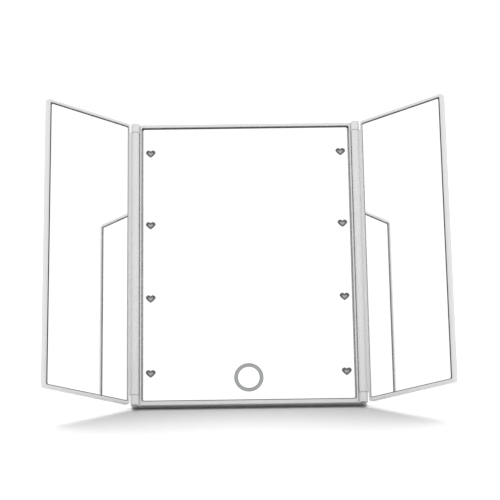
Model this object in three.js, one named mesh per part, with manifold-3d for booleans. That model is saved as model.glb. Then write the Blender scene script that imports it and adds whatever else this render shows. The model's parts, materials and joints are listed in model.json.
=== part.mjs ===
// Folding three-panel vanity mirror with eight heart-shaped light windows, a touch ring and a
// rear kickstand. Millimetres, +Z up. The mirror stands open and leans back on its kickstand:
// the viewer is on the -Y side, +X is to the right, and the origin is on the floor at the middle
// of the whole object's footprint box.
//
// The centre panel is built upright in its own frame (x right, y from the front face to the back,
// z up from the bottom edge) and the whole panel is then leaned back. Each leaf is built in a
// frame whose z axis is its hinge line, the kickstand in a frame at its pivot.

import * as THREE from 'three';
import { mergeVertices } from 'three/addons/utils/BufferGeometryUtils.js';
import Module from 'manifold-3d';

const wasm = await Module();
wasm.setup();

// ---------------------------------------------------------------- driving dimensions

const HEIGHT = 175; // panel height
const LEAN = THREE.MathUtils.degToRad(23); // lean of the standing centre panel from vertical
const LEAF_ANGLE = THREE.MathUtils.degToRad(43); // how far each leaf is folded forward from flat
const GAP = 0.3; // clearance between neighbouring pieces
const FIT = 0.2; // clearance of a thin piece let into another
const CORNER = 2; // corner radius of the panels seen from the front
const EDGE = 0.5; // chamfer of the housings' outer edges
const SLICE = 1; // how far a cutter runs past the face it opens

// Centre panel, front to back.
const FRONT_HALF = 63.85; // half the width of the centre rails, between the hinge barrels
const RAIL_EDGE = 0.3; // chamfer of the centre rails
const BODY_HALF = 69.1; // half the width of the housing behind the barrels
const SHELF = 2.2; // the housing widens behind this depth
const OPENING_HALF = 62.8; // half the width of the centre mirror opening
const TOP_RAIL = 1.9;
const BOTTOM_RAIL = 2.3;
const RECESS = 0.6; // the mirrors lie this far behind the rails
const GLASS = 1.2; // centre mirror thickness
const SLOT_SIDE = 1; // slots between the centre mirror's sides and its rails
const SLOT_TOP = 1.1; // slot above the centre mirror
const LEAF_SLOT_TOP = 0.8; // slot above a leaf mirror
const SLOT_BOTTOM = 0.5; // slot below every mirror
const PAD_FRONT = 2; // white adhesive pad between the centre mirror and the tray
const PAD_BACK = 2.5;
const TRAY_FRONT = 2.7; // floor of the tray that the mirror is stuck in
const TRAY_BACK = 3.8;
const SPLIT = 6.7; // parting line between the front frame and the rear cover
const COVER_FRONT = SPLIT + GAP;
const BACK = 12; // rear face of the cover
const WALL = 1.6; // housing wall
const COVER_INSIDE = BACK - WALL;
const FOOT_START = 7.3; // the bottom edge is cut level from here back, to stand on
const BOTTOM_WALL = 3.2; // thicker wall behind that level cut

// Leaf hinges at the front side edges.
const HINGE_X = 66.6;
const HINGE_Y = -0.6;
const LUG_RADIUS = 2.5;
const LUG_HEIGHT = 5.6;
const BARREL_RADIUS = 2.4;
const PIN_RADIUS = 0.8;
const PIN_BORE = PIN_RADIUS + GAP;
const PIN_START = 1.4; // pin end inside the lug, from the panel's edge
const PIN_LENGTH = 10;
const ROUND = 24; // sides of a round visible piece
const CURVE = 4; // segments of a curved stretch of an outline
const SMALL_ROUND = 16; // sides of a pin, bore or screw

// Leaves, measured from the hinge line: outward along x, back along y.
const LEAF_FRONT = -HINGE_Y;
const LEAF_THICKNESS = 3.2;
const LEAF_INNER = 2.8;
const LEAF_OUTER = 66.2;
const LEAF_INNER_RAIL = 1.6;
const LEAF_RAIL = 1.85;
const LEAF_SLOT = 1.25; // slot between the leaf mirror's outer side and its rail
const LEAF_GLASS = 1;
const LEAF_PAD = 0.4; // thickness of the adhesive pad behind the leaf mirror
const LEAF_POCKET = 2.4; // depth of the pocket that holds the mirror and its pad

// Light windows and touch ring.
const HEART_X = 57.3;
const HEART_WIDTH = 5.6;
const HEART_HEIGHT = 4.5;
const HEART_LOWEST = 19;
const HEART_STEP = 45.75;
const HEART_ROWS = 4;
const LENS_SCALE = 0.8; // lens outline against the window outline
const LENS_DEPTH = 0.4; // the lenses lie this far behind the mirror face
const RING_Z = 16.1;
const RING_OUTER = 8.6;
const RING_INNER = 6.3;
const RING_DEPTH = 0.7; // blind groove in the mirror face
const RING_SINK = 0.1; // the ring lies this far below the mirror face
const ELECTRODE_RADIUS = 5;
const ELECTRODE_STEM = 1.2;

// Lights, boards and battery.
const LED_HOLE = 3.2;
const LED_SIZE = 3.2;
const LED_FRONT = 3.4;
const LED_RIM = 0.4; // rim round the emitter's dish
const BOARD_FRONT = 4.9;
const BOARD = 1;
const BOARD_BACK = BOARD_FRONT + BOARD;
const SOLDER = 0.1; // joint between a part and its board
const LED_BOARD_WIDTH = 7.8;
const LED_BOARD_BOTTOM = 9;
const LED_BOARD_TOP = 166;
const CONTROL_HALF = 22;
const CONTROL_BOTTOM = 6;
const CONTROL_TOP = 30;
const CHIP_HALF = 4;
const CHIP_BOTTOM = 20;
const CHIP_TOP = 25;
const CHIP = 0.8;
const CELL_RADIUS = 10;
const CELL = 3.2;
const CELL_STEP = 0.6; // depth of the narrower cap
const CELL_X = 11;
const CELL_Z = 157.3;
const CELL_FRONT = 6.6;
const POCKET_HALF = 22.4;
const POCKET_BOTTOM = 146.5;
const POCKET_TOP = 168.1;
const POCKET_FLOOR = 5.9;
const CONTACT_FRONT = POCKET_FLOOR + 0.2;
const CONTACT = 0.3;
const CONTACT_HALF = 4;
const CONTACT_TAIL = 142.8;
const DOOR_HALF = 27;
const DOOR_BOTTOM = 143.4;
const DOOR_FRONT = 10.5;
const GRIP_RIBS = 4;
const GRIP_HALF = 8;
const GRIP_START = 6; // first rib above the door's lower edge
const GRIP_PITCH = 2.2;
const GRIP_DEPTH = 0.4;
const TONGUE = 1;
const TONGUE_THICKNESS = 0.6;
const WIRE_RADIUS = 0.5;
const WIRE_Y = 5.4; // depth of the wires, level with the boards

// Screws that hold the cover.
const SCREW_X = 46;
const SCREW_ROWS = [12, 138];
const SCREW_HEAD_RADIUS = 2;
const SCREW_HEAD = 1.1;
const SCREW_RADIUS = 0.8;
const SCREW_SINK = 1.7; // head seat below the cover's rear face
const BOSS_RADIUS = 2.8;
const DRIVE_HALF = 1.1; // cross recess in the screw heads
const DRIVE_SLOT = 0.25;
const DRIVE_DEPTH = 0.6;

// Kickstand, in a frame at its pivot, hanging down along -z when folded away.
const STAND_Y = 10.3;
const STAND_Z = 98;
const STAND_HALF = 22; // half width at the pivot
const STAND_FOOT_HALF = 18;
const STAND_THICKNESS = 3.2;
const STAND_TILT = THREE.MathUtils.degToRad(17.6); // lean of the standing leg from vertical
const STAND_RISE = 0.9; // plate above the pivot: its front corner is the stop
const STAND_POCKET = BACK - 3.6; // floor of the recess it folds into
const STAND_NOTCH = 7; // finger notch in the foot
const STAND_PIN_RADIUS = 0.75;
const STAND_PLAY = 0.4; // on each side of the leg in its recess
const STAND_SHOULDER = 12; // the leg narrows below this
const PAN_MARGIN = 5; // shallow pan in the leg's rear face
const PAN_TOP = 14;
const PAN_DEPTH = 0.6;

const TWO_PI = Math.PI * 2;

// ---------------------------------------------------------------- materials

function finish(color, roughness, metalness = 0) {
  return new THREE.MeshStandardMaterial({ color, roughness, metalness });
}

const white = finish(0xe6e6e4, 0.35);
const coverWhite = finish(0xe2e2e0, 0.45);
const padWhite = finish(0xe8e8e6, 0.8);
const mirrorCoat = finish(0xf2f4f5, 0.03, 1);
const lensGrey = finish(0xb4b6b8, 0.5);
const ringGrey = finish(0xa9abad, 0.45);
const ledBody = finish(0xf0e6b0, 0.4);
const boardGreen = finish(0x2f6b45, 0.5);
const chipBlack = finish(0x1d1d1f, 0.5);
const steel = finish(0xb9bbbe, 0.3, 1);
const nickel = finish(0xc8c6bf, 0.3, 1);
const copper = finish(0xb87748, 0.4, 1);
const redWire = finish(0xa82a22, 0.5);
const blackWire = finish(0x202022, 0.5);

// ---------------------------------------------------------------- solids

function solid(geometry) {
  const bare = geometry.clone();
  bare.deleteAttribute('normal');
  bare.deleteAttribute('uv');
  const merged = mergeVertices(bare, 1e-4);
  const mesh = new wasm.Mesh({
    numProp: 3,
    vertProperties: new Float32Array(merged.attributes.position.array),
    triVerts: new Uint32Array(merged.index.array),
  });
  return new wasm.Manifold(mesh);
}

function geometryOf(body) {
  const mesh = body.getMesh();
  const geometry = new THREE.BufferGeometry();
  geometry.setAttribute('position', new THREE.BufferAttribute(new Float32Array(mesh.vertProperties), 3));
  geometry.setIndex(new THREE.BufferAttribute(new Uint32Array(mesh.triVerts), 1));
  const flat = geometry.toNonIndexed();
  flat.computeVertexNormals();
  return flat;
}

function join(...bodies) {
  return bodies.reduce((all, body) => all.add(body));
}

function cut(body, ...tools) {
  return tools.reduce((rest, tool) => rest.subtract(tool), body);
}

function box(x0, x1, y0, y1, z0, z1) {
  const geometry = new THREE.BoxGeometry(x1 - x0, y1 - y0, z1 - z0);
  geometry.translate((x0 + x1) / 2, (y0 + y1) / 2, (z0 + z1) / 2);
  return solid(geometry);
}

// A cylinder along z (a pin, barrel or bore).
function upright(radius, x, y, z0, z1, sides = SMALL_ROUND) {
  const geometry = new THREE.CylinderGeometry(radius, radius, z1 - z0, sides);
  geometry.rotateX(Math.PI / 2);
  geometry.translate(x, y, (z0 + z1) / 2);
  return solid(geometry);
}

// A cylinder along y (a hole, boss, cell or disc).
function disc(radius, x, z, y0, y1, sides = SMALL_ROUND) {
  const geometry = new THREE.CylinderGeometry(radius, radius, y1 - y0, sides);
  geometry.translate(x, (y0 + y1) / 2, z);
  return solid(geometry);
}

// A cylinder along x (the kickstand's pivot).
function crosswise(radius, x0, x1, y, z, sides = SMALL_ROUND) {
  const geometry = new THREE.CylinderGeometry(radius, radius, x1 - x0, sides);
  geometry.rotateZ(Math.PI / 2);
  geometry.translate((x0 + x1) / 2, y, z);
  return solid(geometry);
}

// An outline drawn in x and z, extruded from y0 to y1, with chamfered edges when asked.
function plate(outline, y0, y1, chamfer = 0) {
  const geometry = new THREE.ExtrudeGeometry(outline, {
    depth: y1 - y0 - 2 * chamfer,
    bevelEnabled: chamfer > 0,
    bevelThickness: chamfer,
    bevelSize: chamfer,
    bevelOffset: -chamfer,
    bevelSegments: 1,
    curveSegments: CURVE,
  });
  geometry.rotateX(Math.PI / 2);
  geometry.translate(0, y1 - chamfer, 0);
  return solid(geometry);
}

function roundedRect(x0, x1, z0, z1, radius) {
  const shape = new THREE.Shape();
  shape.absarc(x1 - radius, z1 - radius, radius, 0, Math.PI / 2);
  shape.absarc(x0 + radius, z1 - radius, radius, Math.PI / 2, Math.PI);
  shape.absarc(x0 + radius, z0 + radius, radius, Math.PI, 1.5 * Math.PI);
  shape.absarc(x1 - radius, z0 + radius, radius, 1.5 * Math.PI, TWO_PI);
  shape.closePath();
  return shape;
}

// A heart outline of the given width and height, centred on x, z.
function heart(x, z, width, height) {
  const half = width / 2;
  const top = z + height / 2;
  const bottom = z - height / 2;
  const dip = top - 0.22 * height;
  const side = z + 0.12 * height;
  const shape = new THREE.Shape();
  shape.moveTo(x, bottom);
  shape.quadraticCurveTo(x + 0.75 * half, z - 0.2 * height, x + half, side);
  shape.bezierCurveTo(x + 1.05 * half, top, x + 0.2 * half, top + 0.16 * height, x, dip);
  shape.bezierCurveTo(x - 0.2 * half, top + 0.16 * height, x - 1.05 * half, top, x - half, side);
  shape.quadraticCurveTo(x - 0.75 * half, z - 0.2 * height, x, bottom);
  return shape;
}

// A body of revolution about an axis along y through x, z; profile points are (radius, y).
function turned(profile, x, z, sides = SMALL_ROUND) {
  const points = profile.map(([radius, y]) => new THREE.Vector2(radius, y));
  const geometry = new THREE.LatheGeometry(points, sides);
  geometry.translate(x, 0, z);
  return solid(geometry);
}

// A round wire along a smooth curve through the points.
function wire(points, radius) {
  const path = new THREE.CatmullRomCurve3(points.map((point) => new THREE.Vector3(...point)));
  const section = new THREE.Shape();
  section.absarc(0, 0, radius, 0, TWO_PI);
  const geometry = new THREE.ExtrudeGeometry(section, {
    steps: 12,
    bevelEnabled: false,
    extrudePath: path,
    curveSegments: CURVE,
  });
  return solid(geometry);
}

// The mirror image of a body across x = 0.
function flipped(body) {
  const source = geometryOf(body);
  const position = source.attributes.position;
  for (let corner = 0; corner < position.count; corner += 3) {
    const [second, third] = [corner + 1, corner + 2];
    const kept = [position.getX(second), position.getY(second), position.getZ(second)];
    position.setXYZ(second, position.getX(third), position.getY(third), position.getZ(third));
    position.setXYZ(third, ...kept);
  }
  for (let corner = 0; corner < position.count; corner += 1) {
    position.setX(corner, -position.getX(corner));
  }
  return solid(source);
}

function addPiece(group, name, body, material) {
  const mesh = new THREE.Mesh(geometryOf(body), material);
  mesh.name = name;
  group.add(mesh);
  return mesh;
}

// ---------------------------------------------------------------- places

const SIDES = [
  { name: 'left', sign: -1 },
  { name: 'right', sign: 1 },
];

function heartRows() {
  return Array.from({ length: HEART_ROWS }, (_, row) => HEART_LOWEST + row * HEART_STEP);
}

function forEachWindow(visit) {
  for (const side of SIDES) {
    heartRows().forEach((z, row) => visit(side.sign * HEART_X, z, `${side.name}_${row + 1}`));
  }
}

function screwPlaces() {
  return SIDES.flatMap(({ name, sign }) =>
    SCREW_ROWS.map((z, row) => ({ name: `${name}_${row + 1}`, x: sign * SCREW_X, z })),
  );
}

// ---------------------------------------------------------------- front frame and hinge lugs

// A round knuckle on the hinge line, standing on the housing's shoulder beside the rail.
function hingeLug(sign, z0, z1) {
  const [inner, outer] = [FRONT_HALF - CORNER, HINGE_X + LUG_RADIUS - CORNER];
  const [x0, x1] = sign < 0 ? [-outer, -inner] : [inner, outer];
  const bridge = box(x0, x1, EDGE, SHELF + 2 * EDGE, z0, z1);
  return join(upright(LUG_RADIUS, sign * HINGE_X, HINGE_Y, z0, z1, ROUND), bridge);
}

// Outline of the opening that the centre mirror lies in, drawn in by the given margin.
function centreOpening(margin) {
  const [low, high] = [BOTTOM_RAIL + margin, HEIGHT - TOP_RAIL - margin];
  return roundedRect(margin - OPENING_HALF, OPENING_HALF - margin, low, high, CORNER / 2);
}

function frontFrame() {
  const rails = roundedRect(-FRONT_HALF, FRONT_HALF, 0, HEIGHT, CORNER);
  const outline = roundedRect(-BODY_HALF, BODY_HALF, 0, HEIGHT, CORNER);
  const opening = centreOpening(0);
  const inside = BODY_HALF - WALL;
  const cavity = roundedRect(-inside, inside, BOTTOM_WALL, HEIGHT - WALL, CORNER);
  let body = join(plate(rails, 0, SHELF + 2 * EDGE, RAIL_EDGE), plate(outline, SHELF, SPLIT, EDGE));
  for (const { sign } of SIDES) {
    body = join(body, hingeLug(sign, 0, LUG_HEIGHT), hingeLug(sign, HEIGHT - LUG_HEIGHT, HEIGHT));
  }
  body = cut(body, plate(opening, -SLICE, TRAY_FRONT), plate(cavity, TRAY_BACK, SPLIT + SLICE));
  for (const { x, z } of screwPlaces()) {
    const boss = disc(BOSS_RADIUS, x, z, TRAY_BACK - GAP, SPLIT);
    body = cut(join(body, boss), disc(SCREW_RADIUS + GAP, x, z, TRAY_BACK + GAP, SPLIT + SLICE));
  }
  body = cutTrayHoles(body, TRAY_FRONT - SLICE, TRAY_BACK + SLICE);
  for (const { sign } of SIDES) {
    for (const [z0, z1] of pinSpans()) {
      body = cut(body, upright(PIN_BORE, sign * HINGE_X, HINGE_Y, z0 - GAP, z1 + GAP));
    }
  }
  return body;
}

function pinSpans() {
  return [
    [PIN_START, PIN_START + PIN_LENGTH],
    [HEIGHT - PIN_START - PIN_LENGTH, HEIGHT - PIN_START],
  ];
}

function addHingePins(panel) {
  const ends = ['bottom', 'top'];
  for (const { name, sign } of SIDES) {
    pinSpans().forEach(([z0, z1], end) => {
      const pin = upright(PIN_RADIUS, sign * HINGE_X, HINGE_Y, z0, z1);
      addPiece(panel, `hinge_pin_${name}_${ends[end]}`, pin, steel);
    });
  }
}

// ---------------------------------------------------------------- centre mirror, windows, ring

function centreMirror() {
  const half = OPENING_HALF - SLOT_SIDE;
  const [low, high] = [BOTTOM_RAIL + SLOT_BOTTOM, HEIGHT - TOP_RAIL - SLOT_TOP];
  let body = plate(roundedRect(-half, half, low, high, CORNER / 2), RECESS, RECESS + GLASS);
  forEachWindow((x, z) => {
    const window = heart(x, z, HEART_WIDTH, HEART_HEIGHT);
    body = cut(body, plate(window, RECESS - SLICE, RECESS + GLASS + SLICE));
  });
  const groove = cut(
    disc(RING_OUTER, 0, RING_Z, RECESS - SLICE, RECESS + RING_DEPTH, 2 * ROUND),
    disc(RING_INNER, 0, RING_Z, RECESS - 2 * SLICE, RECESS + 2 * SLICE, 2 * ROUND),
  );
  return cut(body, groove);
}

function centrePad() {
  const body = plate(centreOpening(GAP), PAD_FRONT, PAD_BACK);
  return cutTrayHoles(body, PAD_FRONT - SLICE, PAD_BACK + SLICE);
}

// The holes for the lights and the touch electrode, which run through the pad and the tray.
function cutTrayHoles(body, y0, y1) {
  let rest = cut(body, disc(ELECTRODE_RADIUS + 1, 0, RING_Z, y0, y1, ROUND));
  forEachWindow((x, z) => {
    rest = cut(rest, disc(LED_HOLE, x, z, y0, y1));
  });
  return rest;
}

function addWindows(panel) {
  forEachWindow((x, z, place) => {
    const outline = heart(x, z, HEART_WIDTH * LENS_SCALE, HEART_HEIGHT * LENS_SCALE);
    const lens = plate(outline, RECESS + LENS_DEPTH, LED_FRONT - GAP);
    addPiece(panel, `heart_lens_${place}`, lens, lensGrey);
  });
  const [front, back] = [RECESS + RING_SINK, RECESS + RING_DEPTH - FIT];
  const ring = cut(
    disc(RING_OUTER - FIT, 0, RING_Z, front, back, 2 * ROUND),
    disc(RING_INNER + FIT, 0, RING_Z, front - SLICE, back + SLICE, 2 * ROUND),
  );
  addPiece(panel, 'touch_ring', ring, ringGrey);
}

// ---------------------------------------------------------------- lights, boards, battery

function led(x, z) {
  const half = LED_SIZE / 2;
  const body = box(x - half, x + half, LED_FRONT, BOARD_FRONT - SOLDER, z - half, z + half);
  return cut(body, disc(half - LED_RIM, x, z, LED_FRONT - SLICE, LED_FRONT + GAP));
}

function addLights(panel) {
  forEachWindow((x, z, place) => addPiece(panel, `led_${place}`, led(x, z), ledBody));
  const halfWidth = LED_BOARD_WIDTH / 2;
  for (const { name, sign } of SIDES) {
    const x = sign * HEART_X;
    const outline = roundedRect(x - halfWidth, x + halfWidth, LED_BOARD_BOTTOM, LED_BOARD_TOP, 1);
    addPiece(panel, `led_board_${name}`, plate(outline, BOARD_FRONT, BOARD_BACK), boardGreen);
  }
}

function addControls(panel) {
  const outline = roundedRect(-CONTROL_HALF, CONTROL_HALF, CONTROL_BOTTOM, CONTROL_TOP, 1);
  addPiece(panel, 'control_board', plate(outline, BOARD_FRONT, BOARD_BACK), boardGreen);
  const chipFront = BOARD_BACK + SOLDER;
  const chip = box(-CHIP_HALF, CHIP_HALF, chipFront, chipFront + CHIP, CHIP_BOTTOM, CHIP_TOP);
  addPiece(panel, 'control_chip', chip, chipBlack);
  const [front, back, tip] = [PAD_FRONT, PAD_BACK, BOARD_FRONT - SOLDER];
  const profile = [
    [0, front],
    [ELECTRODE_RADIUS, front],
    [ELECTRODE_RADIUS, back],
    [ELECTRODE_STEM, back],
    [ELECTRODE_STEM, tip],
    [0, tip],
  ];
  addPiece(panel, 'touch_electrode', turned(profile, 0, RING_Z, ROUND), copper);
}

// One coin cell: a wide can and the narrower cap of its other pole.
function cell(x) {
  const step = CELL_FRONT + CELL_STEP;
  const can = disc(CELL_RADIUS, x, CELL_Z, step, CELL_FRONT + CELL, 2 * ROUND);
  return join(can, disc(CELL_RADIUS - 1, x, CELL_Z, CELL_FRONT, step + FIT, 2 * ROUND));
}

function contact(x) {
  const back = CONTACT_FRONT + CONTACT;
  const half = CONTACT_HALF;
  const pad = plate(roundedRect(x - half, x + half, CELL_Z - half, CELL_Z + half, 1), CONTACT_FRONT, back);
  return join(pad, box(x - 1, x + 1, CONTACT_FRONT, back, CONTACT_TAIL, CELL_Z));
}

function addBattery(panel) {
  const wires = [redWire, blackWire];
  SIDES.forEach(({ name, sign }, index) => {
    const x = sign * CELL_X;
    addPiece(panel, `battery_cell_${name}`, cell(x), nickel);
    addPiece(panel, `battery_contact_${name}`, contact(x), steel);
    const route = [
      [x, CONTACT_FRONT, CONTACT_TAIL - GAP],
      [x + sign * 2, WIRE_Y, 120],
      [x - sign, WIRE_Y, 75],
      [x, WIRE_Y, CONTROL_TOP + GAP],
    ];
    addPiece(panel, `battery_lead_${name}`, wire(route, WIRE_RADIUS), wires[index]);
    const boardEdge = HEART_X - LED_BOARD_WIDTH / 2 - GAP;
    const bridge = [
      [sign * (CONTROL_HALF + GAP), WIRE_Y, 22],
      [sign * 32, WIRE_Y, 24.5],
      [sign * 43, WIRE_Y, 24],
      [sign * boardEdge, WIRE_Y, 22],
    ];
    addPiece(panel, `led_lead_${name}`, wire(bridge, WIRE_RADIUS), wires[index]);
  });
}

// ---------------------------------------------------------------- rear cover

// The wedge below the level cut that the mirror stands on.
function levelCut() {
  const [length, depth] = [60, 20];
  const geometry = new THREE.BoxGeometry(4 * BODY_HALF, length, depth);
  geometry.translate(0, 0, -depth / 2);
  geometry.rotateX(LEAN);
  geometry.translate(0, FOOT_START, 0);
  return solid(geometry);
}

// The recess that the stand folds into, or with grow the block that walls it in.
function standPocket(grow) {
  const half = STAND_HALF + STAND_PLAY + grow;
  const reach = standLength() + STAND_THICKNESS / 2 * Math.tan(STAND_TILT);
  const [low, high] = [STAND_Z - reach - STAND_PLAY, STAND_Z + STAND_RISE + SLICE];
  return box(-half, half, STAND_POCKET - grow * 0.75, BACK + SLICE, low - grow, high + grow);
}

// The pocket for the two cells, or with grow the block that walls it in.
function batteryPocket(grow) {
  const half = POCKET_HALF + grow;
  const front = POCKET_FLOOR - (grow > 0 ? SLICE : 0);
  return box(-half, half, front, BACK + SLICE, POCKET_BOTTOM - grow, POCKET_TOP + grow);
}

function rearCover() {
  const outline = roundedRect(-BODY_HALF, BODY_HALF, 0, HEIGHT, CORNER);
  const inside = BODY_HALF - WALL;
  const cavityOutline = roundedRect(-inside, inside, BOTTOM_WALL, HEIGHT - WALL, CORNER);
  let cavity = plate(cavityOutline, TRAY_BACK, COVER_INSIDE);
  const channelHalf = DOOR_HALF + TONGUE + GAP + WALL;
  const channelLow = DOOR_BOTTOM - WALL - GAP;
  const channelBlock = box(-channelHalf, channelHalf, DOOR_FRONT - 1.5, BACK, channelLow, HEIGHT);
  cavity = cut(cavity, standPocket(WALL), batteryPocket(WALL), channelBlock);
  for (const { x, z } of screwPlaces()) {
    cavity = cut(cavity, disc(BOSS_RADIUS, x, z, COVER_FRONT, BACK));
  }
  let body = cut(join(plate(outline, COVER_FRONT, BACK, EDGE), pocketTray()), cavity);
  const grooveHalf = DOOR_HALF + TONGUE + GAP;
  const channelFloor = DOOR_FRONT - GAP;
  const grooveBack = DOOR_FRONT + TONGUE_THICKNESS + GAP;
  const channelEnd = DOOR_BOTTOM - GAP;
  body = cut(
    body,
    standPocket(0),
    batteryPocket(0),
    box(-DOOR_HALF - GAP, DOOR_HALF + GAP, channelFloor, BACK + SLICE, channelEnd, HEIGHT + SLICE),
    box(-grooveHalf, grooveHalf, channelFloor, grooveBack, channelEnd, HEIGHT + SLICE),
    levelCut(),
    crosswise(STAND_PIN_RADIUS + GAP, -standPinReach() - 2, standPinReach() + 2, STAND_Y, STAND_Z),
  );
  for (const { x, z } of screwPlaces()) {
    body = cut(
      body,
      disc(SCREW_RADIUS + GAP, x, z, COVER_FRONT - SLICE, BACK),
      disc(SCREW_HEAD_RADIUS + GAP, x, z, BACK - SCREW_SINK, BACK + SLICE, ROUND),
    );
  }
  for (const { sign } of SIDES) {
    body = cut(body, contactSlot(sign * CELL_X));
  }
  return body;
}

// Slot in the lower wall of the battery pocket that a contact's tail runs through.
function contactSlot(x) {
  const half = 1.4;
  const [front, back] = [POCKET_FLOOR - 0.01, CONTACT_FRONT + CONTACT + 2 * FIT];
  return box(x - half, x + half, front, back, POCKET_BOTTOM - 2 * WALL, POCKET_BOTTOM + SLICE);
}

// The battery pocket reaches forward past the cover's front edge, towards the tray.
function pocketTray() {
  const half = POCKET_HALF + WALL;
  const front = POCKET_FLOOR - SLICE;
  return box(-half, half, front, COVER_INSIDE, POCKET_BOTTOM - WALL, POCKET_TOP + WALL);
}

function batteryDoor() {
  const top = HEIGHT - EDGE;
  const lid = box(-DOOR_HALF, DOOR_HALF, DOOR_FRONT, BACK, DOOR_BOTTOM, top);
  const half = DOOR_HALF + TONGUE;
  const tongues = box(-half, half, DOOR_FRONT, DOOR_FRONT + TONGUE_THICKNESS, DOOR_BOTTOM, top - CORNER);
  let body = join(lid, tongues);
  for (let rib = 0; rib < GRIP_RIBS; rib += 1) {
    const z = DOOR_BOTTOM + GRIP_START + rib * GRIP_PITCH;
    body = cut(body, box(-GRIP_HALF, GRIP_HALF, BACK - GRIP_DEPTH, BACK + SLICE, z, z + 1));
  }
  return body;
}

function coverScrew(x, z) {
  const head = BACK - SCREW_SINK + 0.1;
  const profile = [
    [0, TRAY_BACK + 1],
    [SCREW_RADIUS, TRAY_BACK + 1.8],
    [SCREW_RADIUS, head],
    [SCREW_HEAD_RADIUS, head],
    [SCREW_HEAD_RADIUS, head + SCREW_HEAD * 0.6],
    [SCREW_HEAD_RADIUS * 0.6, head + SCREW_HEAD],
    [0, head + SCREW_HEAD],
  ];
  const [long, thin] = [DRIVE_HALF, DRIVE_SLOT];
  const depth = head + SCREW_HEAD - DRIVE_DEPTH;
  return cut(
    turned(profile, x, z),
    box(x - long, x + long, depth, BACK, z - thin, z + thin),
    box(x - thin, x + thin, depth, BACK, z - long, z + long),
  );
}

// ---------------------------------------------------------------- leaves

// Outline of the pocket that the leaf mirror lies in, drawn in by the given margin.
function leafOpening(margin) {
  const start = LEAF_INNER + LEAF_INNER_RAIL + margin;
  const end = LEAF_OUTER - LEAF_RAIL - margin;
  return roundedRect(start, end, LEAF_RAIL + margin, HEIGHT - LEAF_RAIL - margin, CORNER / 2);
}

function leafFrame() {
  const back = LEAF_FRONT + LEAF_THICKNESS;
  const outline = roundedRect(LEAF_INNER, LEAF_OUTER, 0, HEIGHT, CORNER);
  const pocket = leafOpening(0);
  const low = LUG_HEIGHT + GAP;
  const high = HEIGHT - LUG_HEIGHT - GAP;
  let body = cut(plate(outline, LEAF_FRONT, back, EDGE), plate(pocket, -SLICE, LEAF_FRONT + LEAF_POCKET));
  const webBack = BARREL_RADIUS - EDGE;
  const web = box(0, LEAF_INNER + 2 * EDGE, LEAF_FRONT - FIT, webBack, low, high);
  body = join(body, web, upright(BARREL_RADIUS, 0, 0, low, high, ROUND));
  for (const [z0, z1] of pinSpans()) {
    body = cut(body, upright(PIN_BORE, 0, 0, z0 - GAP, z1 + GAP));
  }
  return body;
}

function leafMirror() {
  const start = LEAF_INNER + LEAF_INNER_RAIL + GAP;
  const end = LEAF_OUTER - LEAF_RAIL - LEAF_SLOT;
  const [low, high] = [LEAF_RAIL + SLOT_BOTTOM, HEIGHT - LEAF_RAIL - LEAF_SLOT_TOP];
  const outline = roundedRect(start, end, low, high, CORNER / 2);
  const front = LEAF_FRONT + RECESS;
  return plate(outline, front, front + LEAF_GLASS);
}

function leafPad() {
  const back = LEAF_FRONT + LEAF_POCKET - FIT;
  return plate(leafOpening(GAP), back - LEAF_PAD, back);
}

function makeLeaf({ name, sign }) {
  const leaf = new THREE.Group();
  const pieces = [
    ['leaf_frame', leafFrame(), white],
    ['leaf_mirror', leafMirror(), mirrorCoat],
    ['leaf_mirror_pad', leafPad(), padWhite],
  ];
  for (const [piece, body, material] of pieces) {
    addPiece(leaf, `${piece}_${name}`, sign < 0 ? flipped(body) : body, material);
  }
  leaf.position.set(sign * HINGE_X, HINGE_Y, 0);
  leaf.rotation.z = -sign * LEAF_ANGLE;
  return leaf;
}

// ---------------------------------------------------------------- kickstand

// Length of the leg along its middle, from the pivot to the floor it stands on.
function standLength() {
  const pivotHeight = STAND_Z * Math.cos(LEAN) - (STAND_Y - FOOT_START) * Math.sin(LEAN);
  return pivotHeight / Math.cos(STAND_TILT);
}

function standLeg() {
  const half = STAND_THICKNESS / 2;
  const length = standLength();
  const slope = half * Math.tan(STAND_TILT);
  const side = new THREE.Shape();
  side.moveTo(-half, -length + slope);
  side.lineTo(half, -length - slope);
  side.lineTo(half, 0);
  side.absarc(0, 0, half, 0, Math.PI / 2);
  side.lineTo(-half, STAND_RISE);
  side.closePath();
  const geometry = new THREE.ExtrudeGeometry(side, {
    depth: 2 * STAND_HALF,
    bevelEnabled: false,
    curveSegments: CURVE,
  });
  // The side view is drawn in y and z and runs along x.
  geometry.rotateX(Math.PI / 2);
  geometry.rotateZ(Math.PI / 2);
  geometry.translate(-STAND_HALF, 0, 0);
  const face = new THREE.Shape();
  face.moveTo(-STAND_HALF, 2 * half);
  face.lineTo(-STAND_HALF, -STAND_SHOULDER);
  face.lineTo(-STAND_FOOT_HALF, -length - 2 * half);
  face.lineTo(STAND_FOOT_HALF, -length - 2 * half);
  face.lineTo(STAND_HALF, -STAND_SHOULDER);
  face.lineTo(STAND_HALF, 2 * half);
  face.closePath();
  const panHalf = STAND_FOOT_HALF - PAN_MARGIN;
  const panBottom = -length + STAND_NOTCH + 2 * PAN_MARGIN;
  const pan = roundedRect(-panHalf, panHalf, panBottom, -PAN_TOP, CORNER);
  return cut(
    solid(geometry).intersect(plate(face, -half - SLICE, half + SLICE)),
    crosswise(STAND_PIN_RADIUS + GAP, -STAND_HALF - SLICE, STAND_HALF + SLICE, 0, 0),
    disc(STAND_NOTCH, 0, -length - 1.5, -half - SLICE, half + SLICE, ROUND),
    plate(pan, half - PAN_DEPTH, half + SLICE),
  );
}

function makeStand() {
  const stand = new THREE.Group();
  addPiece(stand, 'stand_leg', standLeg(), coverWhite);
  stand.position.set(0, STAND_Y, STAND_Z);
  stand.rotation.x = LEAN + STAND_TILT;
  return stand;
}

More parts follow.
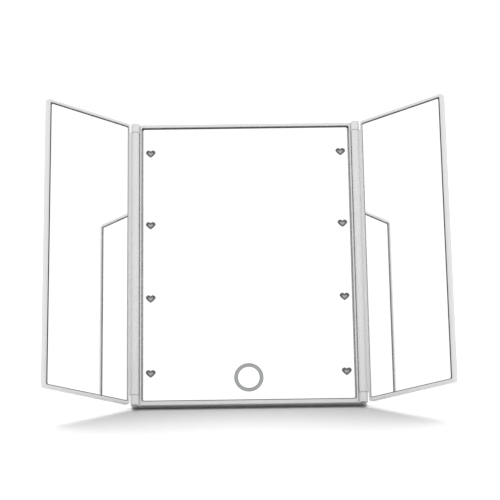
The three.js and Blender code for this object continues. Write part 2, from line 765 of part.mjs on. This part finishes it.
// Half the length of the pin, which ends inside the walls of the recess.
function standPinReach() {
  return STAND_HALF + STAND_PLAY + WALL - GAP;
}

function standPin() {
  return crosswise(STAND_PIN_RADIUS, -standPinReach(), standPinReach(), STAND_Y, STAND_Z);
}

// ---------------------------------------------------------------- assembly

function makeMirror() {
  const panel = new THREE.Group();
  addPiece(panel, 'front_frame', frontFrame(), white);
  addPiece(panel, 'centre_mirror', centreMirror(), mirrorCoat);
  addPiece(panel, 'centre_mirror_pad', centrePad(), padWhite);
  addWindows(panel);
  addLights(panel);
  addControls(panel);
  addBattery(panel);
  addPiece(panel, 'rear_cover', rearCover(), coverWhite);
  addPiece(panel, 'battery_door', batteryDoor(), coverWhite);
  for (const { name, x, z } of screwPlaces()) {
    addPiece(panel, `cover_screw_${name}`, coverScrew(x, z), steel);
  }
  addPiece(panel, 'stand_pin', standPin(), steel);
  addHingePins(panel);
  panel.add(...SIDES.map(makeLeaf), makeStand());
  panel.rotation.x = -LEAN;

  const mirror = new THREE.Group();
  mirror.add(panel);
  mirror.updateMatrixWorld(true);
  const bounds = new THREE.Box3().setFromObject(mirror, true);
  panel.position.set(0, -(bounds.min.y + bounds.max.y) / 2, -bounds.min.z);
  return mirror;
}

export default makeMirror();
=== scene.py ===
"""Looks of the folding three-panel vanity mirror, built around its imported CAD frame.

Everything is in metres in the CAD's row frame: the viewer is on the -Y side, +Z is up. Places come
from the frame: the centre panel's own axes from its hinge joints, each leaf's axes from its joint's
angle, and sizes from the CAD nodes.
"""

import json
import math

import bmesh
import bpy
from mathutils import Matrix, Vector


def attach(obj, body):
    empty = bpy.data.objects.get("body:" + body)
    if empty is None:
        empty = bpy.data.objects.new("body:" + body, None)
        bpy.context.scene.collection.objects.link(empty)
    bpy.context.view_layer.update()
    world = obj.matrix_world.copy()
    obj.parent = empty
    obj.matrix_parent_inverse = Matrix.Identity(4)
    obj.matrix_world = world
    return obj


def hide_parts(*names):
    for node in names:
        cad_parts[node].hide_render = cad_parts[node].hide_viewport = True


MM = 0.001

# Visible pieces that the CAD doesn't draw in full.
CORNER = 1 * MM  # corner radius of the mirrors and of the beads round them
GLASS_EDGE = 0.12 * MM  # rounding of the ground edges of the glass
LENS_IN_WINDOW = 0.8  # size of a CAD lens against its window
# A heart window is filled with a dark ring of painted shade round its edge and a frosted lens inside that ring.
SHADE_RING_OUTER = 0.99  # sizes of a window's fillings against the window
SHADE_RING_INNER = 0.56
DIFFUSER = 0.54
SHADE_RING_SINK = 0.1 * MM  # how far a window's fillings lie behind the mirror face
DIFFUSER_SINK = 0.2 * MM
SHADE_RING_EDGE = 0.08 * MM
DIFFUSER_EDGE = 0.25 * MM
RING_EDGE = 0.1 * MM
# The black strips in the slots round the mirrors are painted shade, standing in for the shade in those slots.
SHADE_STRIP_EDGE = 0.1 * MM
GLASS_CLEAR = 0.05 * MM  # clearance of a painted-shade strip or of the ring from the glass beside it
SHADE_STRIP_DEPTH = 0.4 * MM  # how far the front of a painted-shade strip lies behind its mirror's face
SHADE_STRIP_REACH = 0.25 * MM  # how far a painted-shade strip reaches past its pad
TOP_SHADE_STRIP_CORNER = 0.2 * MM

# Softening of the CAD nodes that are carried over.
FACET_ANGLE = math.radians(0.5)  # faces closer than this are one flat face
SHARP_ANGLE = math.radians(25)  # edges sharper than this are rounded
FRAME_EDGE = 0.12 * MM  # rounding of the thin front rails
SHELL_EDGE = 0.2 * MM  # rounding of the rear shell, the door and the kickstand

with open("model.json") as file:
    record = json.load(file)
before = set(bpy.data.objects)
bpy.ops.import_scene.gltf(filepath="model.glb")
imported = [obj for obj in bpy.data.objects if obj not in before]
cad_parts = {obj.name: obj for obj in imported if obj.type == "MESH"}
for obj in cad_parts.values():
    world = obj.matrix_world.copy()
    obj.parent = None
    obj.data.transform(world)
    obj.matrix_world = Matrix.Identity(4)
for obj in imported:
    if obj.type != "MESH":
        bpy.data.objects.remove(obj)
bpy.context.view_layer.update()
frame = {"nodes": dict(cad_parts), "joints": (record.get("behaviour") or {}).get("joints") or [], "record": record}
NODES = frame["nodes"]
JOINTS = {joint["name"]: joint for joint in frame["joints"]}
SIDES = {"left": -1, "right": 1}


# ---------------------------------------------------------------- the frame's own axes


def axes_at(origin, right, up):
    """Matrix of a panel's own axes: x right, y from front to back, z up along the panel."""
    rotation = Matrix((right, up.cross(right), up)).transposed().to_4x4()
    return Matrix.Translation(origin) @ rotation


def panel_axes():
    """The leaning centre panel's axes, with x = 0 in the middle and y = 0 on the hinge lines."""
    hinge = JOINTS["leaf_left_hinge"]
    base = Vector(hinge["pos_m"])
    return axes_at(Vector((0, base.y, base.z)), Vector((1, 0, 0)), Vector(hinge["axis"]).normalized())


def leaf_axes(side):
    """A leaf's axes: the centre panel's, moved to its hinge line and turned by the leaf's fold."""
    hinge = JOINTS[f"leaf_{side}_hinge"]
    fold = math.radians(-hinge["range_deg"][0])
    up = Vector(JOINTS["leaf_left_hinge"]["axis"]).normalized()
    right = Matrix.Rotation(-SIDES[side] * fold, 3, up) @ Vector((1, 0, 0))
    return axes_at(Vector(hinge["pos_m"]), right, up)


def extent(node, axes):
    """Lowest and highest corner of a CAD node, measured along the given axes."""
    back = axes.inverted()
    corners = [back @ vertex.co for vertex in NODES[node].data.vertices]
    low = Vector(min(corner[i] for corner in corners) for i in range(3))
    high = Vector(max(corner[i] for corner in corners) for i in range(3))
    return low, high


PANEL = panel_axes()
LEAVES = {side: leaf_axes(side) for side in SIDES}


# ---------------------------------------------------------------- node materials


class Shader:
    """A node material around one Principled shader, with short calls for its parts."""

    def __init__(self, name):
        self.material = bpy.data.materials.new(name)
        self.material.use_nodes = True
        self.nodes = self.material.node_tree.nodes
        self.links = self.material.node_tree.links
        self.shader = self.nodes["Principled BSDF"]

    def set(self, **values):
        for name, value in values.items():
            socket = self.shader.inputs[name.replace("_", " ")]
            socket.default_value = (*value, 1) if isinstance(value, tuple) else value
        return self

    def noise(self, scale, detail=2.0, roughness=0.5):
        place = self.nodes.new("ShaderNodeTexCoord")
        noise = self.nodes.new("ShaderNodeTexNoise")
        noise.inputs["Scale"].default_value = scale
        noise.inputs["Detail"].default_value = detail
        noise.inputs["Roughness"].default_value = roughness
        self.links.new(place.outputs["Object"], noise.inputs["Vector"])
        return noise.outputs["Fac"]

    def ramp(self, source, low, high):
        ramp = self.nodes.new("ShaderNodeMapRange")
        ramp.inputs["To Min"].default_value = low
        ramp.inputs["To Max"].default_value = high
        self.links.new(source, ramp.inputs["Value"])
        return ramp.outputs["Result"]

    def colour(self, source, dark, light):
        mix = self.nodes.new("ShaderNodeMix")
        mix.data_type = "RGBA"
        mix.inputs["A"].default_value = (*dark, 1)
        mix.inputs["B"].default_value = (*light, 1)
        self.links.new(source, mix.inputs["Factor"])
        self.links.new(mix.outputs["Result"], self.shader.inputs["Base Color"])
        return self

    def rough(self, source, low, high):
        self.links.new(self.ramp(source, low, high), self.shader.inputs["Roughness"])
        return self

    def bump(self, source, height, strength=0.3):
        bump = self.nodes.new("ShaderNodeBump")
        bump.inputs["Distance"].default_value = height
        bump.inputs["Strength"].default_value = strength
        self.links.new(source, bump.inputs["Height"])
        self.links.new(bump.outputs["Normal"], self.shader.inputs["Normal"])
        return self


def moulded_plastic(name, shade, roughness, grain, grain_height):
    """White moulded plastic: a faint mottle, uneven gloss and a fine moulded grain."""
    look = Shader(name).set(IOR=1.5)
    mottle = look.noise(60, detail=3)
    look.colour(mottle, tuple(shade * 0.97 for _ in range(3)), tuple(shade * 1.02 for _ in range(3)))
    look.rough(look.noise(140), roughness - 0.05, roughness + 0.05)
    look.bump(look.noise(grain, detail=4), grain_height)
    return look.material


def silvered_glass():
    """A mirror face, very slightly uneven in tone and gloss."""
    look = Shader("silvered_glass").set(Metallic=1.0)
    look.colour(look.noise(12), (0.955, 0.96, 0.962), (0.965, 0.968, 0.97))
    look.rough(look.noise(35), 0.002, 0.006)
    return look.material


def plain_metal(name, shade, roughness):
    """Bare metal with slightly uneven gloss."""
    look = Shader(name).set(Metallic=1.0)
    look.colour(look.noise(300), tuple(c * 0.93 for c in shade), shade)
    look.rough(look.noise(900, detail=4), roughness - 0.08, roughness + 0.08)
    return look.material


def plain_solid(name, shade, roughness):
    """Paint, resin or wire covering of one colour, with a slight mottle."""
    look = Shader(name)
    look.colour(look.noise(400), tuple(c * 0.9 for c in shade), shade)
    look.rough(look.noise(700), roughness - 0.05, roughness + 0.05)
    return look.material


def foam(name, shade):
    """Adhesive foam, also used for the black painted-shade strips in the mirror slots: matt, with a fine open
    grain.
    """
    look = Shader(name).set(Specular_IOR_Level=0.3)
    look.colour(look.noise(1500, detail=3), tuple(c * 0.85 for c in shade), shade)
    look.rough(look.noise(600), 0.6, 0.8)
    look.bump(look.noise(3000), 0.00003)
    return look.material


def glass_edge():
    """The greenish ground edge of a glass plate."""
    look = Shader("glass_edge").set(IOR=1.52)
    look.colour(look.noise(500), (0.16, 0.19, 0.18), (0.22, 0.25, 0.24))
    look.rough(look.noise(900), 0.15, 0.3)
    return look.material


def frosted(name, shade):
    """Frosted diffuser or etched glass: an even grey with a fine sandblasted tooth."""
    look = Shader(name).set(IOR=1.5)
    look.colour(look.noise(900, detail=3), tuple(c * 0.93 for c in shade), tuple(c * 1.05 for c in shade))
    look.rough(look.noise(1500), 0.45, 0.6)
    look.bump(look.noise(4000), 0.00002)
    return look.material


def make_looks():
    return {
        "housing": moulded_plastic("housing_plastic", 0.66, 0.32, 1800, 0.00002),
        "rear_shell": moulded_plastic("shell_plastic", 0.60, 0.42, 2500, 0.00004),
        "mirror": silvered_glass(),
        "glass_edge": glass_edge(),
        "adhesive_pad": foam("adhesive_foam", (0.80, 0.80, 0.80)),
        # Painted shade: a black strip that stands in for the shade in the slots round the mirrors.
        "slot_shade": foam("slot_shade", (0.08, 0.08, 0.082)),
        # Painted shade: a dark ring that stands in for the shade round the edge of each heart window.
        "shade_ring": plain_solid("window_painted_shade", (0.105, 0.105, 0.108), 0.5),
        "window_lens": frosted("window_lens", (0.34, 0.345, 0.35)),
        "touch_ring": frosted("touch_ring", (0.34, 0.345, 0.35)),
        "steel": plain_metal("steel", (0.6, 0.6, 0.62), 0.3),
        "nickel": plain_metal("nickel", (0.66, 0.65, 0.62), 0.25),
        "copper": plain_metal("copper", (0.7, 0.4, 0.24), 0.35),
        "led": plain_solid("led", (0.85, 0.78, 0.45), 0.4),
        "circuit_board": plain_solid("circuit_board", (0.03, 0.15, 0.07), 0.4),
        "chip": plain_solid("chip", (0.02, 0.02, 0.02), 0.5),
        "red_wire": plain_solid("red_wire", (0.5, 0.03, 0.02), 0.4),
        "black_wire": plain_solid("black_wire", (0.02, 0.02, 0.02), 0.4),
    }


LOOKS = make_looks()


# ---------------------------------------------------------------- outlines in a panel's x and z


def arc(x, z, radius, start, end, steps):
    turn = math.radians(end - start) / steps
    angles = [math.radians(start) + turn * step for step in range(steps + 1)]
    return [(x + radius * math.cos(angle), z + radius * math.sin(angle)) for angle in angles]


def circle(x, z, radius, steps=96):
    return arc(x, z, radius, 0, 360, steps)[:-1]


def rounded_rect(low, high, radius, steps=8):
    """Rectangle between two corners, given as (x, z), with rounded corners."""
    (x0, z0), (x1, z1) = low, high
    return [
        *arc(x1 - radius, z1 - radius, radius, 0, 90, steps),
        *arc(x0 + radius, z1 - radius, radius, 90, 180, steps),
        *arc(x0 + radius, z0 + radius, radius, 180, 270, steps),
        *arc(x1 - radius, z0 + radius, radius, 270, 360, steps),
    ]


def grown_rect(low, high, reach=0.0):
    """Outline of a box's front, made larger by reach on every side."""
    return rounded_rect((low.x - reach, low.z - reach), (high.x + reach, high.z + reach), CORNER)


def bezier(controls, steps):
    """Points along a Bezier curve of any order, without its last one."""
    points = []
    for step in range(steps):
        row = [Vector(control) for control in controls]
        while len(row) > 1:
            row = [a.lerp(b, step / steps) for a, b in zip(row, row[1:])]
        points.append(tuple(row[0]))
    return points


def heart(x, z, width, height, steps=14):
    """The window's heart outline, of the given width and height, about x, z."""
    half, top, bottom = width / 2, z + height / 2, z - height / 2
    side, dip = z + 0.12 * height, top - 0.22 * height
    tip = (x, bottom)
    points = bezier([tip, (x + 0.75 * half, z - 0.2 * height), (x + half, side)], steps)
    for sign in (1, -1):
        lobe = [
            (x + sign * half, side),
            (x + sign * 1.05 * half, top),
            (x + sign * 0.2 * half, top + 0.16 * height),
            (x, dip),
        ]
        points += bezier(lobe[::sign], steps)
    points += bezier([(x - half, side), (x - 0.75 * half, z - 0.2 * height), tip], steps)
    return points


# ---------------------------------------------------------------- plates cut to outlines


def flat_piece(name, outlines, front, back, edge, axes, material, rim=None):
    """A plate with rounded edges, cut to nested outlines, between two depths of a panel.

    The flat faces take the material, and the edges take rim where one is given.
    """
    curve = bpy.data.curves.new(name, "CURVE")
    curve.dimensions = "2D"
    curve.fill_mode = "BOTH"
    curve.bevel_depth = edge
    curve.bevel_resolution = 2
    curve.offset = -edge
    curve.extrude = (back - front) / 2 - edge
    for outline in outlines:
        spline = curve.splines.new("POLY")
        spline.points.add(len(outline) - 1)
        for point, place in zip(spline.points, outline):
            point.co = (*place, 0, 1)
        spline.use_cyclic_u = True
    drawing = bpy.data.objects.new(name, curve)
    mesh = bpy.data.meshes.new_from_object(drawing)
    bpy.data.objects.remove(drawing)
    weld(mesh)
    mesh.materials.clear()
    mesh.materials.append(material)
    mesh.materials.append(rim or material)
    for face in mesh.polygons:
        flat = abs(face.normal.z) > 0.999
        face.use_smooth = not flat
        face.material_index = 0 if flat else 1
    # The plate is drawn flat: its x, y and z become the panel's x, z and -y.
    stand = Matrix(((1, 0, 0, 0), (0, 0, -1, (front + back) / 2), (0, 1, 0, 0), (0, 0, 0, 1)))
    mesh.transform(axes @ stand)
    piece = bpy.data.objects.new(name, mesh)
    bpy.context.scene.collection.objects.link(piece)
    return piece


def weld(mesh):
    """Joins a drawn plate's caps to its edges and turns every face outward."""
    form = bmesh.new()
    form.from_mesh(mesh)
    bmesh.ops.remove_doubles(form, verts=form.verts, dist=1e-7)
    bmesh.ops.recalc_face_normals(form, faces=form.faces)
    form.to_mesh(mesh)
    form.free()


def place(piece, body, slot, *nodes):
    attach(piece, body)
    if nodes:
        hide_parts(*nodes)


# ---------------------------------------------------------------- mirrors, windows and ring


def window_places():
    """Centre, width and height of each heart window, by the name of its lens."""
    windows = {}
    for name in NODES:
        if name.startswith("heart_lens_"):
            low, high = extent(name, PANEL)
            middle = (low + high) / 2
            width, height = ((high - low)[i] / LENS_IN_WINDOW for i in (0, 2))
            windows[name] = (middle.x, middle.z, width, height)
    return windows


def ring_circles():
    """Middle, outer radius and inner radius of the touch ring."""
    low, high = extent("touch_ring", PANEL)
    middle = (low + high) / 2
    outer = (high.x - low.x) / 2
    back = PANEL.inverted()
    places = [back @ vertex.co - middle for vertex in NODES["touch_ring"].data.vertices]
    inner = min(math.hypot(place.x, place.z) for place in places)
    return middle, outer, inner


def mirror_plate(name, outlines, front, back, axes):
    """A silvered plate with a plain ground edge."""
    return flat_piece(name, outlines, front, back, GLASS_EDGE, axes, LOOKS["mirror"], LOOKS["glass_edge"])


def add_centre_mirror():
    low, high = extent("centre_mirror", PANEL)
    middle, outer, inner = ring_circles()
    outlines = [grown_rect(low, high)]
    outlines += [heart(*window) for window in window_places().values()]
    outlines += [circle(middle.x, middle.z, outer), circle(middle.x, middle.z, inner)]
    glass = mirror_plate("centre_glass", outlines, low.y, high.y, PANEL)
    place(glass, "panel", "mirror", "centre_mirror")


def shade_strip_piece(name, outlines, face, pad_front, axes):
    """A black strip of painted shade, standing in for the shade in a mirror's slot, from just behind the mirror's
    face back to its pad.
    """
    look = LOOKS["slot_shade"]
    return flat_piece(name, outlines, face + SHADE_STRIP_DEPTH, pad_front, SHADE_STRIP_EDGE, axes, look)


def add_top_slot_shade():
    """Painted shade: a black strip in the slot above the centre mirror, standing in for the shade there."""
    low, high = extent("centre_mirror", PANEL)
    pad_low, pad_high = extent("centre_mirror_pad", PANEL)
    start = (pad_low.x, high.z + GLASS_CLEAR)
    outline = rounded_rect(start, (pad_high.x, pad_high.z + SHADE_STRIP_REACH), TOP_SHADE_STRIP_CORNER)
    shade_strip = shade_strip_piece("centre_mirror_slot_shade", [outline], low.y, pad_low.y, PANEL)
    place(shade_strip, "panel", "adhesive_pad")


def add_leaf_slot_shade(side):
    """Painted shade: a black strip in the slot round a leaf mirror, standing in for the shade there."""
    low, high = extent(f"leaf_mirror_{side}", LEAVES[side])
    pad_low, pad_high = extent(f"leaf_mirror_pad_{side}", LEAVES[side])
    outlines = [grown_rect(pad_low, pad_high, SHADE_STRIP_REACH), grown_rect(low, high, GLASS_CLEAR)]
    shade_strip = shade_strip_piece(f"{side}_mirror_slot_shade", outlines, low.y, pad_low.y, LEAVES[side])
    place(shade_strip, f"leaf_{side}", "adhesive_pad")


def add_leaf_mirror(side):
    node, axes = f"leaf_mirror_{side}", LEAVES[side]
    low, high = extent(node, axes)
    outline = grown_rect(low, high)
    glass = mirror_plate(f"leaf_glass_{side}", [outline], low.y, high.y, axes)
    place(glass, f"leaf_{side}", "mirror", node)


def add_windows():
    """Each window holds a dark ring of painted shade round its edge and, inside that, a domed frosted lens."""
    face = extent("centre_mirror", PANEL)[0].y
    for name, (x, z, width, height) in window_places().items():
        tail = name.removeprefix("heart_lens_")
        back = extent(name, PANEL)[1].y
        scales = (SHADE_RING_OUTER, SHADE_RING_INNER, DIFFUSER)
        outer, inner, middle = (heart(x, z, width * scale, height * scale) for scale in scales)
        front, look = face + SHADE_RING_SINK, LOOKS["shade_ring"]
        shade_ring = flat_piece(f"heart_shade_ring_{tail}", [outer, inner], front, back, SHADE_RING_EDGE, PANEL, look)
        place(shade_ring, "panel", "window_lens")
        front, look = face + DIFFUSER_SINK, LOOKS["window_lens"]
        lens = flat_piece(f"heart_diffuser_{tail}", [middle], front, back, DIFFUSER_EDGE, PANEL, look)
        place(lens, "panel", "window_lens", name)


def add_touch_ring():
    low, high = extent("touch_ring", PANEL)
    middle, outer, inner = ring_circles()
    rings = [circle(middle.x, middle.z, outer - GLASS_CLEAR), circle(middle.x, middle.z, inner + GLASS_CLEAR)]
    ring = flat_piece("etched_ring", rings, low.y, high.y, RING_EDGE, PANEL, LOOKS["touch_ring"])
    place(ring, "panel", "touch_ring", "touch_ring")


def add_mirror_pieces():
    add_centre_mirror()
    add_windows()
    add_touch_ring()
    add_top_slot_shade()
    for side in SIDES:
        add_leaf_mirror(side)
        add_leaf_slot_shade(side)


# ---------------------------------------------------------------- carried-over CAD nodes


def soften(node, width):
    """Joins the flat facets and rounds the edges of a CAD node, as moulding leaves them."""
    flat = node.modifiers.new("facets", "DECIMATE")
    flat.decimate_type = "DISSOLVE"
    flat.angle_limit = FACET_ANGLE
    edge = node.modifiers.new("edges", "BEVEL")
    edge.width = width
    edge.segments = 3
    edge.limit_method = "ANGLE"
    edge.angle_limit = SHARP_ANGLE
    edge.harden_normals = True
    for face in node.data.polygons:
        face.use_smooth = True
    even = node.modifiers.new("normals", "WEIGHTED_NORMAL")
    even.keep_sharp = True


def paint(node, material):
    node.data.materials.clear()
    node.data.materials.append(material)


def paint_nodes():
    for part in frame["record"]["subparts"]:
        paint(NODES[part["node"]], LOOKS[part["material_slot"]])
    for name in ("front_frame", "leaf_frame_left", "leaf_frame_right"):
        soften(NODES[name], FRAME_EDGE)
    for name in ("rear_cover", "battery_door", "stand_leg"):
        soften(NODES[name], SHELL_EDGE)


# ---------------------------------------------------------------- stage, light and camera

CAMERA_PLACE = Vector((-0.0055, -1.2453, 0.1944))
CAMERA_TARGET = Vector((0.0017, 0.0, 0.0910))
CAMERA_ROLL = math.radians(-0.74)
CAMERA_FIELD = math.radians(13.39)
SENSOR = 36  # the camera's film width in millimetres
FLOOR_HALF = 40  # half the floor's side
FLOOR_DARK = (0.38, 0.38, 0.38)
FLOOR_LIGHT = (0.39, 0.39, 0.39)
SURROUNDINGS = 1.1  # strength of the white surroundings


def add_camera():
    data = bpy.data.cameras.new("camera")
    data.sensor_width = SENSOR
    data.angle = CAMERA_FIELD
    camera = bpy.data.objects.new("camera", data)
    bpy.context.scene.collection.objects.link(camera)
    forward = (CAMERA_TARGET - CAMERA_PLACE).normalized()
    level = forward.cross(Vector((0, 0, 1))).normalized()
    upright = level.cross(forward)
    right = level * math.cos(CAMERA_ROLL) + upright * math.sin(CAMERA_ROLL)
    up = right.cross(forward)
    turn = Matrix((right, up, -forward)).transposed().to_4x4()
    camera.matrix_world = Matrix.Translation(CAMERA_PLACE) @ turn
    bpy.context.scene.camera = camera


def add_floor():
    """A pale floor, wide enough for its edge to stay out of sight."""
    side = FLOOR_HALF
    mesh = bpy.data.meshes.new("floor")
    corners = [(-side, -side, 0), (side, -side, 0), (side, side, 0), (-side, side, 0)]
    mesh.from_pydata(corners, [], [(0, 1, 2, 3)])
    floor = bpy.data.objects.new("floor", mesh)
    bpy.context.scene.collection.objects.link(floor)
    look = Shader("floor").set(Roughness=0.9)
    look.colour(look.noise(2), FLOOR_DARK, FLOOR_LIGHT)
    mesh.materials.append(look.material)
    return floor


def add_sun(name, source, spread, strength, lit=None):
    """A broad, even light from the direction of source; spread is the angle it fills, in degrees.

    Where lit is a piece, the light falls on that piece alone, and everything still shades it.
    """
    data = bpy.data.lights.new(name, "SUN")
    data.angle = math.radians(spread)
    data.energy = strength
    light = bpy.data.objects.new(name, data)
    bpy.context.scene.collection.objects.link(light)
    light.rotation_euler = (-Vector(source)).to_track_quat("-Z", "Y").to_euler()
    if lit:
        only = bpy.data.collections.new(f"{name}_lights")
        only.objects.link(lit)
        light.light_linking.receiver_collection = only


def add_lights(floor):
    """White surroundings, a faint light from above, and the floor's own light from behind."""
    world = bpy.data.worlds.new("studio")
    world.use_nodes = True
    world.node_tree.nodes["Background"].inputs["Color"].default_value = (1, 1, 1, 1)
    world.node_tree.nodes["Background"].inputs["Strength"].default_value = SURROUNDINGS
    bpy.context.scene.world = world
    add_sun("overhead", (0, 0.5, 1), 80, 0.3)
    add_sun("floor_light", (0, 0.75, 1), 50, 8.0, floor)


def add_scene():
    scene = bpy.context.scene
    scene.view_settings.view_transform = "Standard"
    scene.view_settings.look = "None"
    add_camera()
    floor = add_floor()
    add_lights(floor)


# ---------------------------------------------------------------- the whole model

add_scene()
add_mirror_pieces()
paint_nodes()
